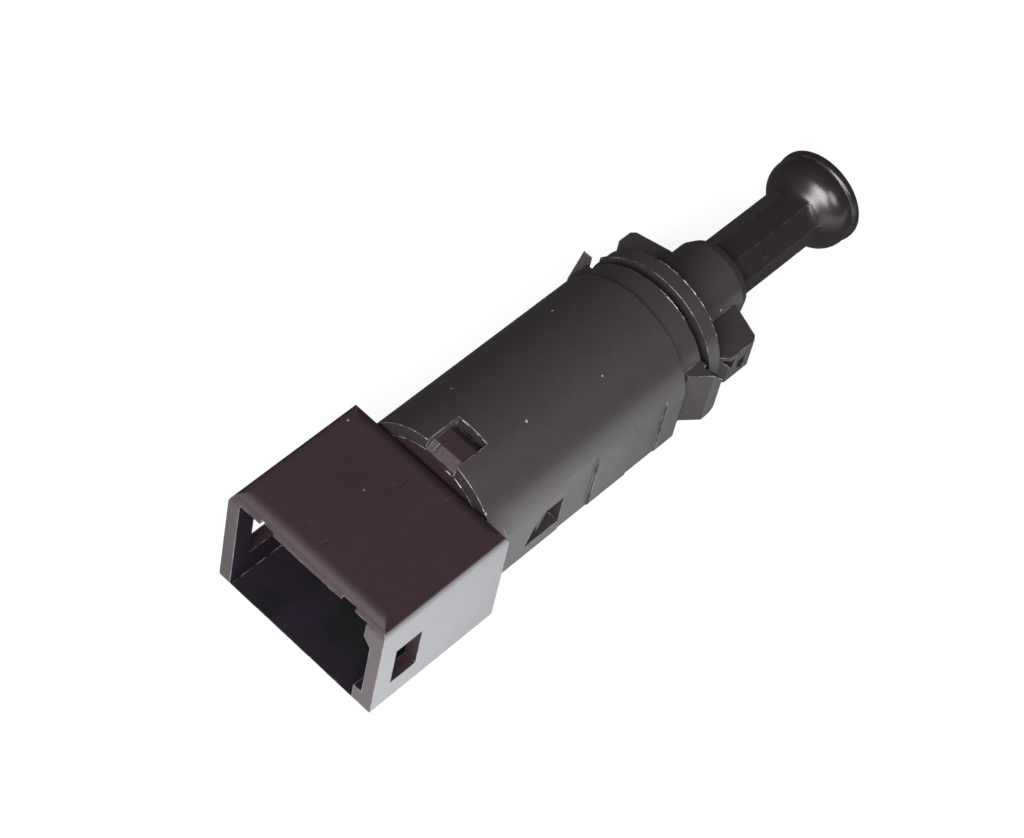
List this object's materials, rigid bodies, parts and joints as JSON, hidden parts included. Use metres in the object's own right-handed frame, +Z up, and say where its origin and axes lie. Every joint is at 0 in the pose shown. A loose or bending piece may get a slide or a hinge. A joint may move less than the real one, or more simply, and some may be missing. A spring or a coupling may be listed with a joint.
{
  "type": "brake light switch",
  "caption": "Bayonet brake light switch with a mushroom-headed spring plunger, crowned barrel, twist-lock lugs and a boxed blade connector.",
  "frame": {"origin": "on the plunger's axis, in the plane of the bayonet lugs' rear faces, where the bracket sheet seats", "axes": "+X along the plunger towards its tip, +Z up out of the barrel's crown, +Y across the lugs"},
  "size_m": [0.0734, 0.02, 0.0176],
  "materials": {
    "barrel_plastic": "fine-grained black moulding",
    "housing_plastic": "fine-grained black moulding",
    "carrier_plastic": "natural white moulding",
    "plunger_plastic": "smooth black acetal",
    "spring_steel": "drawn spring wire",
    "bridge_copper": "copper alloy strip",
    "tinned_brass": "tinned strip",
    "contact_silver": "silver alloy"
  },
  "bodies": {
    "switch_body": {"barrel": "barrel_plastic", "connector_housing": "housing_plastic", "return_spring": "spring_steel", "brake_terminal_upper": "tinned_brass", "brake_contact_pad_upper": "contact_silver", "brake_terminal_lower": "tinned_brass", "brake_contact_pad_lower": "contact_silver", "cruise_terminal_upper": "tinned_brass", "cruise_contact_pad_upper": "contact_silver", "cruise_terminal_lower": "tinned_brass", "cruise_contact_pad_lower": "contact_silver"},
    "plunger_unit": {"plunger": "plunger_plastic", "contact_carrier": "carrier_plastic", "brake_contact_bridge": "bridge_copper", "brake_contact_spring": "spring_steel", "brake_contact_rivet_upper": "contact_silver", "brake_contact_rivet_lower": "contact_silver", "cruise_contact_bridge": "bridge_copper", "cruise_contact_spring": "spring_steel", "cruise_contact_rivet_upper": "contact_silver", "cruise_contact_rivet_lower": "contact_silver"}
  },
  "joints": [
    {"name": "plunger_slide", "type": "slide", "parent": "switch_body", "child": "plunger_unit", "axis": [-1, 0, 0], "range_m": [0, 0.0085], "stiffness_N_per_m": 350, "springref_m": -0.008, "deforming": ["return_spring"]}
  ]
}
